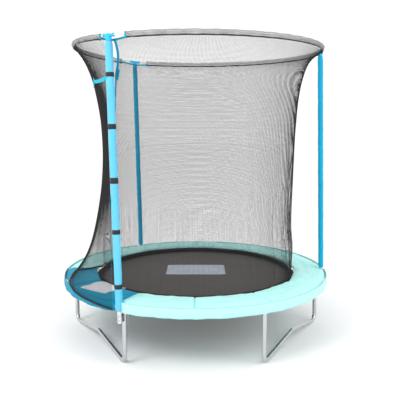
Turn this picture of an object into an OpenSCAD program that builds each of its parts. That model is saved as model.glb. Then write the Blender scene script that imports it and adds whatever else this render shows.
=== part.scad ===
// Round backyard trampoline with a net enclosure on three poles.
// Millimetres, +Z up. The origin is on the ground, under the middle of the mat.
// Legs, poles and pad sections are placed by their angle around the Z axis, from +X.

/* [Frame] */
// Distance from the middle of the mat to the frame tube and the legs
frame_r = 857; // [800:1:870]
// Height of the frame tube's centre line above the ground
frame_z = 360; // [320:5:420]
// Outside diameter of the frame tube
frame_d = 32; // [28:1:36]
// Outside diameter of the leg tube
leg_d = 28; // [25:1:30]
// Slope of the floor bars up to the kink in the middle of a leg, in degrees
leg_slope = 8; // [4:0.5:12]

/* [Mat and springs] */
// Radius of the mat with its webbing border
mat_r = 704; // [690:1:710]
// Number of springs, a multiple of the six frame tubes
spring_count = 36; // [30:6:42]
// Outside diameter of a spring's coil
spring_d = 16; // [12:1:18]

/* [Pads] */
// Radius of the pads' outer edge
pad_r = 912; // [905:1:925]
// Thickness of a pad
pad_t = 22; // [15:1:28]
// How far the skirt hangs below the pads' upper face
skirt_h = 66; // [50:2:80]

/* [Enclosure] */
// Height of the net's top ring above the ground
ring_z = 1905; // [1700:5:2050]
// Radius of the net's top ring
ring_r = 850; // [830:5:870]
// Distance from the middle of the mat to the foot of a pole
pole_r = 900; // [898:1:905]
// Outside diameter of a pole's steel tube
pole_d = 25; // [22:1:28]
// Outside diameter of the foam on the two plain poles
foam_d = 35; // [32:1:40]
// Outside diameter of the padded sleeve on the pole beside the door
door_foam_d = 44; // [40:1:45]

/* [Hidden] */
$fn = 48;

wall = 1.5;          // tube wall
fit = 0.3;           // radial gap of a sliding fit
eps = 0.1;           // overlap of a cut past a face

rail_angle = 60;     // angle that one of the six frame tubes covers
socket_angle = [0, 60, 121.5, 179.5, 241, 298.5];    // the leg socket on each frame tube
spigot_angle = 3.2;  // angle that a frame tube reaches into the next one
swage_angle = 1.5;   // angle over which its end is drawn down
socket_h = 30;       // height of the welded leg sockets

leg_bend_r = 45;     // centre-line radius of the bends on the floor
leg_kink_r = 60;     // centre-line radius of the kink in the middle
leg_span = 61.5;     // angle between a leg's two uprights
leg_azimuth = [210.25, 329.25, 90.75];               // middle of each leg
leg_pole = [2, 0, 1];                                // the pole that each leg carries
leg_half = frame_r * sin(leg_span / 2);                        // half the distance between its uprights
leg_top = frame_z - frame_d / 2 - 2;
leg_floor_x = leg_half - leg_bend_r + leg_bend_r * sin(-leg_slope);
leg_floor_z = leg_bend_r * (1 - cos(leg_slope)) + leg_d / 2;
leg_kink_x = leg_kink_r * sin(leg_slope);
leg_bar = (leg_floor_x - leg_kink_x) / cos(leg_slope);
leg_kink_z = leg_floor_z + leg_bar * sin(leg_slope);

pole_foot_angle = [0, 121.5, 241];     // right, back, door
pole_top_angle = [0, 125.5, 235.5];    // the net's pull leans each pole inwards and a little sideways
pole_z0 = 264;
pole_top = ring_z - 18;
bolt_z = [280, 306];
bolt_d = 6;
foam_z0 = [frame_z + frame_d / 2 + pad_t + 4, frame_z + frame_d / 2 + pad_t + 4, 338];
foam_z1 = ring_z - 34;
strap_z = [481, 799, 1093, 1398, 1688];   // closing straps on the door pole
rod_d = 9.6;
cap_d = 30;
cap_flare_d = 40;
cap_reach = 40;                        // length of a cap's side arms, from the pole's middle
rod_end = 7;                           // the rods stop this far from a pole's middle
sleeve_d = 22;
sleeve_gap = [44, 96, 82];             // bare length of the top ring at each side of a pole
// The middle of each rod: the left one is pulled flatter and bows up.
rod_mid_r = [ring_r, 812, ring_r];
rod_rise = [0, 20, 0];

mat_t = 3;
border_w = 36;
border_t = 6;
link_r = mat_r + 20;                   // where the triangular links meet the springs
link_w = 24;
wire_d = 2.8;
hook_r = 5;
coil_r0 = link_r + 14;
coil_r1 = frame_r - frame_d / 2 - 22;

pad_z = frame_z + frame_d / 2;
pad_top = pad_z + pad_t;
pad_in_r = 700;                        // corners of the pads' twelve-sided inner edge
pad_seams = [0, 30, 60, 90, 121.8, 150, 180, 210, 240.6, 270, 300, 330, 360];   // every fourth is at a pole
seam = 0.02;                           // half the angle of the gap between two pads
pole_notch_r = 28;
skirt_t = 3;
skirt_gap = 2.6;                       // angle that the skirt stays away from a pad corner at a pole
blue_pads = [7, 8];

net_t = 3;
net_top_z = ring_z - 18.5;
net_foot_z = frame_z + 12;
net_foot_r = 668;
door_foot_z = pad_top + 14;            // foot of the door net, on the pads
head_z = 1870;                         // above this the nets keep clear of the poles' heads
right_head_gap = 2.2;
back_head_gap = 2.4;                   // by these angles
head_room_r = 30;
head_room_h = 48;
net_left_start = 120;
net_end = 180;                         // where the left net runs on into the door net
// Outline of the net from the ring down to the mat, as radius and height
net_side = [[ring_r - 8, net_top_z], [790, 1862], [748, 1796], [717, 1687], [698, 1560],
    [684, 1370], [672, 1100], [664, 780], [net_foot_r, 620], [net_foot_r, net_foot_z]];
// The door side is narrower at half height: height and radius
net_waist = [[door_foot_z, net_foot_r], [620, 672], [890, 660], [1130, 645], [1330, 645], [1500, 661],
    [1658, 690], [1777, 728], [1862, 790], [net_top_z, ring_r - 4]];
// The front net's free edge, inside the door: height and angle
free_edge = [[net_foot_z, 216], [950, 216], [1200, 222], [1450, 225.5], [1580, 231], [1660, 235.5],
    [net_top_z, 238.5]];
// Heights of the points that each net panel is drawn through
front_rows = [net_top_z, 1862, 1796, 1740, 1687, 1620, 1560, 1450, 1300, 1200, 1100, 950, 780, 620, net_foot_z];
front_cols = 24;
net_pull_z = 1500;                     // above this the left side follows the flatter ring
flap_z = 720;                          // height at which the door net starts to flare out
flap_r = 921;                          // its radius at the pads' outer edge
flap_from = 178;
flap_full = 207;                       // angle from which it reaches that edge
flap_end = 235.5;
hem_z = 345;
door_tangent = 197;                    // from here the door net runs straight to the pole
left_rows = [net_top_z, 1862, 1796, 1687, 1560, 1370, 1100, 780, 620, net_foot_z];
left_cols = 8;
door_rows = [net_top_z, 1862, 1777, 1658, 1500, 1330, 1130, 890, flap_z, 640, 560, 500, 450, door_foot_z];
door_cols = 12;
binding_top = 1620;                    // the hanging strap takes over from the edge's binding above this
strap_w = 32;
strap_t = 2.5;
door_strap_z = 1647;
door_strap_w = 36;
door_strap_bar = 76;                   // height of its cross piece

function polar(r, a, z = 0) = [r * cos(a), r * sin(a), z];
function pole_foot(k) = polar(pole_r, pole_foot_angle[k], pole_z0);
function pole_head(k) = polar(ring_r, pole_top_angle[k], ring_z);
function along(k, z) =
    pole_foot(k) + (pole_head(k) - pole_foot(k)) * (z - pole_z0) / (ring_z - pole_z0);
function blend(a, b, t) = a + (b - a) * t;
function ease(t) = t <= 0 ? 0 : t >= 1 ? 1 : t * t * (3 - 2 * t);
function next_angle(k) = k == 2 ? pole_top_angle[0] + 360 : pole_top_angle[k + 1];

// Puts its children on pole k at height z, with +Z along the pole.
module on_pole(k, z) {
    run = pole_head(k) - pole_foot(k);
    translate(along(k, z))
        rotate([0, acos(run.z / norm(run)), atan2(run.y, run.x)])
            children();
}

// A round bar along pole k between two heights.
module pole_bar(k, d, z0, z1) {
    run = pole_head(k) - pole_foot(k);
    on_pole(k, z0) cylinder(d = d, h = (z1 - z0) * norm(run) / run.z);
}

// Rod k of the top ring runs from pole k to the next pole as an arc through its own middle point.
function rod_half(k) = (next_angle(k) - pole_top_angle[k]) / 2;
function rod_mid(k) = pole_top_angle[k] + rod_half(k);
function rod_base(k) = ring_r * cos(rod_half(k));
function rod_chord(k) = ring_r * sin(rod_half(k));
function rod_bulge(k) = norm([rod_mid_r[k] - rod_base(k), rod_rise[k]]);
function rod_r(k) = (pow(rod_chord(k), 2) + pow(rod_bulge(k), 2)) / (2 * rod_bulge(k));
function rod_end_angle(k) = asin(rod_chord(k) / rod_r(k));
function rod_turn(k, run) = run / rod_r(k) * 180 / PI;
function rod_centre(k) = rod_base(k) + rod_bulge(k) - rod_r(k);

// The top ring's radius and height at an angle over the left rod.
function left_ring_r(a) =
    let (t = a - rod_mid(1))
    rod_centre(1) * cos(t) + sqrt(pow(rod_r(1), 2) - pow(rod_centre(1) * sin(t), 2));
function left_ring_rise(a) =
    rod_rise[1] * (left_ring_r(a) * cos(a - rod_mid(1)) - rod_base(1)) / rod_bulge(1);

// Puts its children in rod k's plane, with the arc's centre at the origin and its middle on +X.
module in_rod_plane(k) {
    tilt = atan2(rod_rise[k], rod_mid_r[k] - rod_base(k));
    translate(polar(rod_base(k), rod_mid(k), ring_z)) rotate([0, 0, rod_mid(k)]) rotate([0, -tilt, 0])
        translate([rod_bulge(k) - rod_r(k), 0, 0]) children();
}

// Sweeps its child shape, drawn around the origin, along rod k between two runs from the rod's ends.
module along_rod(k, from, to) {
    start = rod_turn(k, from) - rod_end_angle(k);
    in_rod_plane(k)
        rotate_extrude(angle = rod_end_angle(k) - rod_turn(k, to) - start, start = start, $fn = 96)
            translate([rod_r(k), 0]) children();
}

// A straight bar along the end of rod k, at its start (side -1) or its finish (side 1).
module rod_end_bar(k, side, d, from, to) {
    in_rod_plane(k) rotate([0, 0, side * rod_end_angle(k)]) translate([rod_r(k), -side * from, 0])
        rotate([side * 90, 0, 0]) cylinder(d = d, h = to - from);
}

// A round bar bent around the Z axis.
module ring_bar(r, z, d, start, sweep) {
    rotate_extrude(angle = sweep, start = start, $fn = 96)
        translate([r, z]) circle(d = d, $fn = 32);
}

// ---- frame ----

module rail(k) {
    mid = (k - 1) * rail_angle;
    start = mid - rail_angle / 2;
    end = mid + rail_angle / 2;
    bore_d = frame_d - 2 * wall;
    spigot_d = bore_d - 2 * fit;
    step = 360 / spring_count;
    color("silver") difference() {
        union() {
            ring_bar(frame_r, frame_z, frame_d, start, rail_angle);
            ring_bar(frame_r, frame_z, spigot_d, end - swage_angle, swage_angle + spigot_angle);
            translate(polar(frame_r, socket_angle[k - 1], leg_top - socket_h))
                cylinder(d = leg_d + 2 * fit + 2 * wall + 2, h = socket_h + 10);
        }
        ring_bar(frame_r, frame_z, bore_d, start - eps, rail_angle - swage_angle + eps);
        ring_bar(frame_r, frame_z, spigot_d - 2 * wall, end - 2 * swage_angle,
            2 * swage_angle + spigot_angle + eps);
        translate(polar(frame_r, socket_angle[k - 1], leg_top - socket_h - eps))
            cylinder(d = leg_d + 2 * fit, h = socket_h + 1);
        for (a = [start + step / 2 : step : end])
            rotate([0, 0, a]) translate([frame_r - frame_d / 2 - 4, 0, frame_z])
                rotate([0, 90, 0]) cylinder(d = wire_d + 2, h = 10, $fn = 24);
    }
}

// One bent tube, drawn in the XY plane: two uprights, two floor bends, a raised kink between them.
// The straight lengths are a hair thinner than the bends and reach a little way into them.
module leg_path(d, over = 0) {
    hair = 0.4;
    reach = 0.3;
    floor_y = leg_bend_r + leg_d / 2;
    for (side = [0, 1]) mirror([side, 0, 0]) {
        translate([leg_half, floor_y - reach]) rotate([-90, 0, 0])
            cylinder(d = d - hair, h = leg_top - floor_y + reach + over);
        translate([leg_half - leg_bend_r, floor_y])
            rotate_extrude(angle = 90 + leg_slope, start = -90 - leg_slope)
                translate([leg_bend_r, 0]) circle(d = d, $fn = 32);
        translate([leg_kink_x, leg_kink_z]) rotate([0, 90, -leg_slope]) translate([0, 0, -reach])
            cylinder(d = d - hair, h = leg_bar + 2 * reach);
    }
    translate([0, leg_kink_z - leg_kink_r * cos(leg_slope)])
        rotate_extrude(angle = 2 * leg_slope, start = 90 - leg_slope)
            translate([leg_kink_r, 0]) circle(d = d, $fn = 32);
}

module leg(k) {
    color("gainsboro") difference() {
        rotate([0, 0, leg_azimuth[k]]) translate([frame_r * cos(leg_span / 2), 0, 0]) rotate([90, 0, 90])
            difference() {
                leg_path(leg_d);
                leg_path(leg_d - 2 * wall, eps);
            }
        for (z = bolt_z) bolt_cut(leg_pole[k], z);
    }
}

// ---- poles ----

module bolt_cut(k, z) {
    rotate([0, 0, pole_foot_angle[k]]) translate([frame_r - 30, 0, z]) rotate([0, 90, 0])
        cylinder(d = bolt_d + 2 * fit, h = 110, $fn = 24);
}

module pole(k) {
    color("white") difference() {
        pole_bar(k, pole_d, pole_z0, pole_top);
        pole_bar(k, pole_d - 2 * wall, pole_z0 - 1, pole_top + 1);
        for (z = bolt_z) bolt_cut(k, z);
    }
}

module pole_plugs() {
    color("dimgray") for (k = [0, 1, 2]) {
        pole_bar(k, pole_d, pole_z0 - 3, pole_z0);
        pole_bar(k, pole_d - 2 * wall, pole_z0 - 1, pole_z0 + 8);
    }
}

// Moulded blocks that hold each pole off its leg.
module pole_spacers() {
    color("dimgray") for (k = [0, 1, 2]) difference() {
        rotate([0, 0, pole_foot_angle[k]])
            translate([frame_r, -10, bolt_z[0] - 10])
                cube([pole_r - frame_r, 20, bolt_z[1] - bolt_z[0] + 14]);
        translate(polar(frame_r, pole_foot_angle[k], bolt_z[0] - 20)) cylinder(d = leg_d + 0.2, h = 80);
        pole_bar(k, pole_d + 0.2, pole_z0 - 5, bolt_z[1] + 20);
        for (z = bolt_z) bolt_cut(k, z);
    }
}

module at_bolts() {
    for (k = [0, 1, 2], z = bolt_z)
        rotate([0, 0, pole_foot_angle[k]]) translate([0, 0, z]) rotate([0, 90, 0]) children();
}

module pole_bolts() {
    tip = frame_r - leg_d / 2 - 9;
    head = pole_r + pole_d / 2 + 0.5;
    color("silver") at_bolts() {
        translate([0, 0, tip]) cylinder(d = bolt_d, h = head - tip + 1, $fn = 24);
        translate([0, 0, head]) cylinder(d = 13, h = 3.5, $fn = 32);
    }
}

module pole_nuts() {
    color("silver") at_bolts() translate([0, 0, frame_r - leg_d / 2 - 6]) difference() {
        cylinder(d = 11.5, h = 5, $fn = 6);
        translate([0, 0, -1]) cylinder(d = bolt_d + 0.1, h = 7, $fn = 24);
    }
}

module foam(k, d, tint) {
    color(tint) difference() {
        pole_bar(k, d, foam_z0[k], foam_z1);
        pole_bar(k, pole_d + 0.4, foam_z0[k] - 1, foam_z1 + 1);
    }
}

// Moulded connector: a flared cup over the pole's head and two side arms for the ring's rods.
module cap(k) {
    before = (k + 2) % 3;
    color("deepskyblue") difference() {
        union() {
            on_pole(k, foam_z1 + 0.5) cylinder(d1 = cap_d, d2 = cap_flare_d, h = ring_z + 6 - foam_z1);
            rod_end_bar(before, 1, 18, 3, cap_reach);
            rod_end_bar(k, -1, 18, 3, cap_reach);
            rod_end_bar(before, 1, 22, cap_reach - 3, cap_reach);
            rod_end_bar(k, -1, 22, cap_reach - 3, cap_reach);
        }
        pole_bar(k, pole_d + 0.4, foam_z1 - 1, pole_top + 1);
        rod_end_bar(before, 1, rod_d + 2, rod_end - 1, cap_reach + 1);
        rod_end_bar(k, -1, rod_d + 2, rod_end - 1, cap_reach + 1);
    }
}

// ---- top ring ----

module rod(k) {
    color("whitesmoke") along_rod(k, rod_end, rod_end) circle(d = rod_d, $fn = 32);
}

// Steel tubes over the joint in the middle of each rod.
module rod_ferrules() {
    color("silver") for (k = [0, 1, 2]) {
        half_run = rod_end_angle(k) * PI / 180 * rod_r(k);
        along_rod(k, half_run - 30, half_run - 30) difference() {
            circle(d = rod_d + 2.4, $fn = 32);
            circle(d = rod_d + 0.1, $fn = 32);
        }
    }
}

// Runs its child shape along the three covered stretches of the ring.
module sleeve_arcs() {
    for (k = [0, 1, 2]) along_rod(k, sleeve_gap[k], sleeve_gap[(k + 1) % 3]) children();
}

module ring_sleeve() {
    color("darkgray") sleeve_arcs() difference() {
        circle(d = sleeve_d, $fn = 32);
        circle(d = sleeve_d - 6, $fn = 32);
    }
}

module net_binding() {
    color("black") sleeve_arcs() translate([-3, -sleeve_d / 2 - 6.5]) square([4, 6]);
}

// ---- mat ----

module mat() {
    color("dimgray") translate([0, 0, frame_z - mat_t / 2])
        cylinder(r = mat_r - border_w, h = mat_t, $fn = 96);
}

module mat_border() {
    color("black") rotate_extrude($fn = 96)
        translate([mat_r - border_w, frame_z - border_t / 2]) square([border_w, border_t]);
}

// Plain printed panel on the mat.
module mat_badge() {
    color("lightgray") translate([-210, -50, frame_z + mat_t / 2]) cube([420, 240, 0.6]);
}

module around_springs() {
    step = 360 / spring_count;
    for (i = [0 : spring_count - 1])
        rotate([0, 0, (i + 0.5) * step]) translate([0, 0, frame_z]) children();
}

// Flat triangular links, sewn into the mat's border.
module v_rings() {
    color("silver") around_springs() translate([0, 0, -2]) linear_extrude(4) difference() {
        polygon([[link_r + 2, -3], [link_r + 2, 3], [mat_r - 6, link_w / 2], [mat_r - 6, -link_w / 2]]);
        polygon([[link_r - 2, -1], [link_r - 2, 1],
            [mat_r - 2, link_w / 2 - 5], [mat_r - 2, -link_w / 2 + 5]]);
    }
}

module springs() {
    hook_end = frame_r - 6;
    color("silver") around_springs() {
        rotate([0, 90, 0]) difference() {
            translate([0, 0, coil_r0]) cylinder(d = spring_d, h = coil_r1 - coil_r0, $fn = 32);
            translate([0, 0, coil_r0 + 2])
                cylinder(d = spring_d - 2 * wire_d, h = coil_r1 - coil_r0 - 4, $fn = 32);
        }
        translate([coil_r1 - 1, 0, 0]) rotate([0, 90, 0])
            cylinder(d = wire_d, h = hook_end - coil_r1 + 1, $fn = 16);
        translate([hook_end - wire_d / 2, 0, -8]) cylinder(d = wire_d, h = 8, $fn = 16);
        translate([link_r + hook_r, 0, 0]) rotate([0, 90, 0])
            cylinder(d = wire_d, h = coil_r0 - link_r - hook_r + 1, $fn = 16);
        translate([link_r, 0, 0]) rotate([90, 0, 0]) rotate_extrude(angle = 300, start = 0)
            translate([hook_r, 0]) circle(d = wire_d, $fn = 16);
    }
}

// ---- pads ----

function is_blue(k) = len(search(k, blue_pads)) > 0;

module wedge(a0, a1) {
    reach = 1400;
    polygon([[0, 0], [reach * cos(a0), reach * sin(a0)], [reach * cos(a1), reach * sin(a1)]]);
}

module pad(k) {
    a0 = pad_seams[k - 1] + seam;
    a1 = pad_seams[k] - seam;
    color(is_blue(k) ? "steelblue" : "paleturquoise") difference() {
        translate([0, 0, pad_z]) linear_extrude(pad_t) difference() {
            intersection() {
                circle(r = pad_r, $fn = 180);
                wedge(a0, a1);
            }
            polygon([for (i = [0 : 11]) [pad_in_r * cos(pad_seams[i]), pad_in_r * sin(pad_seams[i])]]);
        }
        for (p = [0, 1, 2]) translate(along(p, pad_z - pad_t))
            cylinder(r = pole_notch_r, h = 3 * pad_t, $fn = 180);
    }
}

module skirt(a0, a1) {
    rotate_extrude(angle = a1 - a0, start = a0, $fn = 96)
        translate([pad_r + 0.2, pad_top - skirt_h]) square([skirt_t, skirt_h - 4]);
}

// Skirt pieces hang from the pads' outer edge, one under each pad, and stay clear of the poles.
module skirts(first, last) {
    for (k = [first : last])
        skirt(pad_seams[k - 1] + ((k - 1) % 4 == 0 ? skirt_gap : seam),
            pad_seams[k] - (k % 4 == 0 ? skirt_gap : seam));
}

module skirt_mint() {
    color("paleturquoise") {
        skirts(1, 6);
        skirts(9, 12);
    }
}

module skirt_blue() {
    color("steelblue") skirts(7, 8);
}

// Plain light panel sewn on the pads under the door.
module door_patch() {
    color("lightgray") rotate([0, 0, 222]) translate([698, -75, pad_top])
        cube([160, 150, 0.6]);
}

// Elastic loops that hold the pads down, each under the frame tube.
module pad_ties() {
    inner = frame_d / 2 + fit;
    outer = inner + 1.5;
    rise = pad_z - frame_z - fit;
    color("black") for (k = [0 : 11]) rotate([0, 0, k * 30 + 10])
        translate([frame_r, 6, frame_z]) rotate([90, 0, 0]) linear_extrude(12) {
            difference() {
                circle(r = outer);
                circle(r = inner);
                translate([-outer, 0]) square([2 * outer, outer]);
            }
            for (x = [-outer, inner]) translate([x, -eps]) square([outer - inner, rise + eps]);
        }
}

// ---- net ----

// A thin wall of revolution with the given outline on its outer side.
module net_wall(side, start, end) {
    n = len(side);
    inner = [for (i = [n - 1 : -1 : 0]) side[i] - [net_t, 0]];
    rotate_extrude(angle = end - start, start = start, $fn = 96) polygon(concat(side, inner));
}

// Room around a pole's head at the net's upper edge.
module head_room() {
    for (k = [0, 1, 2]) translate(polar(ring_r, pole_top_angle[k], net_top_z - head_room_h / 2))
        cylinder(r = head_room_r, h = head_room_h, $fn = 90);
}

module net_back() {
    color("gray", 0.5) difference() {
        net_wall(net_side, seam, net_left_start - seam);
        head_room();
    }
}

// How far a height lies in the part of the net that follows the ring, from 0 to 1.
function pull(z) = z <= net_pull_z ? 0 : pow((z - net_pull_z) / (net_top_z - net_pull_z), 1.5);
function pulled_r(r, a, z) = r + (left_ring_r(a) - ring_r) * pull(z);
function pulled_z(a, z) = z + left_ring_rise(a) * pull(z);

// A thin wall through a grid of points, listed row by row on its outer side and then its inner side.
module net_grid(points, rows, cols) {
    sheet = rows * (cols + 1);
    function at(side, row, col) = side * sheet + row * (cols + 1) + col;
    across = [for (r = [0 : rows - 2], c = [0 : cols - 1]) each [
        [at(0, r, c + 1), at(0, r + 1, c), at(0, r, c)],
        [at(0, r + 1, c + 1), at(0, r + 1, c), at(0, r, c + 1)],
        [at(1, r + 1, c), at(1, r, c + 1), at(1, r, c)],
        [at(1, r + 1, c), at(1, r + 1, c + 1), at(1, r, c + 1)]]];
    ends = [for (r = [0 : rows - 2]) each [
        [at(0, r + 1, 0), at(1, r + 1, 0), at(1, r, 0), at(0, r, 0)],
        [at(1, r + 1, cols), at(0, r + 1, cols), at(0, r, cols), at(1, r, cols)]]];
    rims = [for (c = [0 : cols - 1]) each [
        [at(1, 0, c + 1), at(0, 0, c + 1), at(0, 0, c), at(1, 0, c)],
        [at(0, rows - 1, c + 1), at(1, rows - 1, c + 1), at(1, rows - 1, c), at(0, rows - 1, c)]]];
    polyhedron(points = points, faces = concat(across, ends, rims));
}

function side_r(z) = lookup(z, [for (p = net_side) [p.y, p.x]]);
function free_angle(z) = lookup(z, free_edge);

// The front net ends clear of the right pole's head.
function front_end(z) = z > head_z ? 360 - right_head_gap : 360 - seam;

module net_front() {
    color("gray", 0.5) net_grid([for (side = [0, 1], z = front_rows, i = [0 : front_cols])
        polar(side_r(z) - side * net_t, blend(free_angle(z), front_end(z), i / front_cols), z)],
        len(front_rows), front_cols);
}

// The left net starts clear of the back pole's head.
function left_start(z) = z > head_z ? pole_top_angle[1] + back_head_gap : net_left_start + seam;

module net_left() {
    color("gray", 0.5) net_grid([for (side = [0, 1], row = [0 : len(left_rows) - 1], i = [0 : left_cols])
        let (z = left_rows[row], a = blend(left_start(z), net_end - seam, i / left_cols))
        polar(pulled_r(net_side[row].x, a, z) - side * net_t, a, pulled_z(a, z))],
        len(left_rows), left_cols);
}

// The door net: round on the left, then straight to the door pole, and flared out over the pads below.
function door_end(z) = atan2(along(2, z).y, along(2, z).x) + 360 - 2.2;
function door_edge_r(z) = norm([along(2, z).x, along(2, z).y]);
function door_swing(a, z) =
    a <= door_tangent ? 0 : (1 / cos(a - door_tangent) - 1) / (1 / cos(door_end(z) - door_tangent) - 1);
function door_mid_r(a, z) = pulled_r(blend(lookup(z, net_waist), door_edge_r(z), door_swing(a, z)), a, z);
function door_foot_r(a) = blend(net_foot_r, flap_r, ease((a - flap_from) / (flap_full - flap_from)));
function door_flare(z) = z >= flap_z ? 0 : pow((flap_z - z) / (flap_z - door_foot_z), 1.5);
function door_r(a, z) = blend(door_mid_r(a, z), max(door_foot_r(a), door_mid_r(a, z)), door_flare(z));

module net_door() {
    color("gray", 0.5) net_grid([for (side = [0, 1], z = door_rows, i = [0 : door_cols])
        let (a = blend(net_end + seam, door_end(z), i / door_cols))
        polar(door_r(a, z) - side * net_t, a, pulled_z(a, z))],
        len(door_rows), door_cols);
}

// Weighted hem of the door net, down over the pads' outer edge.
module flap_hem() {
    color("black") rotate_extrude(angle = flap_end - flap_full, start = flap_full, $fn = 96)
        translate([flap_r - net_t, hem_z]) square([net_t, door_foot_z - 0.5 - hem_z]);
}

// ---- straps ----

module pole_straps() {
    color("black") for (z = strap_z) difference() {
        pole_bar(2, door_foam_d + 3, z - strap_w / 2, z + strap_w / 2);
        pole_bar(2, door_foam_d + 0.4, z - strap_w / 2 - 1, z + strap_w / 2 + 1);
    }
}

// Webbing across the door net's upper corner, with a cross piece on the net, up to the pole.
module door_strap() {
    far = polar(718, 203);
    near = polar(door_edge_r(1665) + 6, door_end(1665) - 0.5);
    run = near - far;
    bar_w = 8;
    color("deepskyblue") translate([far.x, far.y, door_strap_z]) rotate([0, 0, atan2(run.y, run.x)])
        translate([0, -8, 0]) {
            translate([bar_w, 0, 0]) cube([norm(run) - bar_w, strap_t, door_strap_w]);
            translate([0, 0, -(door_strap_bar - door_strap_w) / 2]) cube([bar_w, strap_t, door_strap_bar]);
        }
}

// Webbing that hangs from the ring beside the door pole and holds the front net's edge.
module hang_strap() {
    top = polar(816, 237.2, net_top_z - 8);
    low = polar(798, 235.6, 1725);
    run = low - top;
    color("deepskyblue") translate(top)
        rotate([0, acos(run.z / norm(run)), atan2(run.y, run.x)]) translate([-1.5, -10, 0])
            cube([3, 20, norm(run)]);
}

// Bindings that run past the inner side of each pole, between the ends of the ring's sleeve.
module ring_straps() {
    color("deepskyblue") for (k = [0, 1, 2]) {
        half_angle = sleeve_gap[k] / ring_r * 180 / PI;
        rotate_extrude(angle = 2 * half_angle, start = pole_top_angle[k] - half_angle, $fn = 96)
            translate([ring_r - 24, net_top_z + 4]) square([strap_t, 12]);
    }
}

// Binding along the front net's free edge, up to where the hanging strap takes over.
module door_binding() {
    rows = [for (z = front_rows) if (z <= binding_top) z];
    color("teal") net_grid([for (side = [0, 1], z = rows, i = [0, 1])
        polar(side_r(z) + 2.4 - side * 2, free_angle(z) + 1.6 * i, z)], len(rows), 1);
}

rail(1);  // rail_1
rail(2);  // rail_2
rail(3);  // rail_3
rail(4);  // rail_4
rail(5);  // rail_5
rail(6);  // rail_6
leg(0);  // leg_left
leg(1);  // leg_right
leg(2);  // leg_back
pole(0);  // pole_right
pole(1);  // pole_back
pole(2);  // pole_door
pole_plugs();
pole_spacers();
pole_bolts();
pole_nuts();
foam(0, foam_d, "deepskyblue");  // foam_right
foam(1, foam_d, "deepskyblue");  // foam_back
foam(2, door_foam_d, "skyblue");  // foam_door
cap(0);  // cap_right
cap(1);  // cap_back
cap(2);  // cap_door
rod(0);  // rod_back
rod(1);  // rod_left
rod(2);  // rod_front
rod_ferrules();
mat();
mat_border();
mat_badge();
v_rings();
springs();
pad(1);  // pad_01
pad(2);  // pad_02
pad(3);  // pad_03
pad(4);  // pad_04
pad(5);  // pad_05
pad(6);  // pad_06
pad(7);  // pad_07
pad(8);  // pad_08
pad(9);  // pad_09
pad(10);  // pad_10
pad(11);  // pad_11
pad(12);  // pad_12
skirt_mint();
skirt_blue();
door_patch();
pad_ties();
net_front();
net_back();
net_left();
net_door();
flap_hem();
ring_sleeve();
net_binding();
ring_straps();
door_binding();
pole_straps();
door_strap();
hang_strap();
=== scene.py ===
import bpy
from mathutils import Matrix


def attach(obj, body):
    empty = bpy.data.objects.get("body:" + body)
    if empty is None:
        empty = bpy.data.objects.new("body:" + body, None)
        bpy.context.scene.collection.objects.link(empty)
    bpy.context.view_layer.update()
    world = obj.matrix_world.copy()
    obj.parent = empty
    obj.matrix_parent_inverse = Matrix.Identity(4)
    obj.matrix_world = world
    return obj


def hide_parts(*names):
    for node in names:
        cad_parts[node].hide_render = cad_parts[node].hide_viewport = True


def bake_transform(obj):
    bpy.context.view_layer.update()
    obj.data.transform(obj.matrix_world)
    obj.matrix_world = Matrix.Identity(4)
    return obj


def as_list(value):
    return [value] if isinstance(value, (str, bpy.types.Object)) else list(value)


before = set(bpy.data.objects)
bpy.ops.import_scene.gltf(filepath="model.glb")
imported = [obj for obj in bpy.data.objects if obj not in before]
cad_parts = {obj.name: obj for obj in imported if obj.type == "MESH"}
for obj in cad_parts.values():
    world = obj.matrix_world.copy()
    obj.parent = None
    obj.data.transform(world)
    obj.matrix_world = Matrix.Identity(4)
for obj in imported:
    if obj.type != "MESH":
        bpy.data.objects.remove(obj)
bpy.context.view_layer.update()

import math

import bpy
import numpy as np
from mathutils import Vector

# Everything is in metres, +Z up, with the origin on the ground under the middle of the mat.
# Angles go round the Z axis from +X.

PAD_TOP = 0.398
MAT_Z = 0.360
RING_R, RING_Z = 0.850, 1.905
POLE_FOOT = [(0.900, a, 0.264) for a in (0, 121.5, 241)]
POLE_HEAD = [(RING_R, a, RING_Z) for a in (0, 125.5, 235.5)]
# Bare angle of the ring before and after each pole
SLEEVE_GAP = ((3.0, 3.0), (7.6, 9.0), (4.6, 8.2))
# The middle of each rod, back, left and front: its radius and how far it bows up. The left one is flatter.
ROD_MID_R = (0.850, 0.812, 0.850)
ROD_RISE = (0.0, 0.020, 0.0)


# ---- small geometry helpers ----

def polar(r, angle, z=0.0):
    a = np.radians(angle)
    return np.stack(np.broadcast_arrays(r * np.cos(a), r * np.sin(a), z), axis=-1)


def unit(v):
    return v / np.maximum(np.linalg.norm(v, axis=-1, keepdims=True), 1e-12)


def ease(t):
    t = np.clip(t, 0, 1)
    return t * t * (3 - 2 * t)


def curve(knots, width=0.02):
    """A smooth function through (x, y) knots: straight runs, rounded off over about that width."""
    xs, ys = np.array(knots, float).T
    fineness = 8
    step = width / fineness
    grid = np.arange(xs[0], xs[-1] + step, step)
    pad = 4 * fineness
    k = np.exp(-0.5 * (np.arange(-pad, pad + 1) / fineness) ** 2)
    flat = np.interp(grid, xs, ys)
    first, last = flat[1] - flat[0], flat[-1] - flat[-2]
    ext = np.concatenate([flat[0] - first * np.arange(pad, 0, -1), flat,
                          flat[-1] + last * np.arange(1, pad + 1)])
    smooth = np.convolve(ext, k / k.sum(), mode="valid")
    return lambda x: np.interp(x, grid, smooth)


def along_pole(k, z):
    foot, head = polar(*POLE_FOOT[k]), polar(*POLE_HEAD[k])
    t = (np.asarray(z, float) - foot[2]) / (head[2] - foot[2])
    return foot + (head - foot) * t[..., None]


def next_head(k):
    return POLE_HEAD[(k + 1) % 3][1] + (360 if k == 2 else 0)


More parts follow.
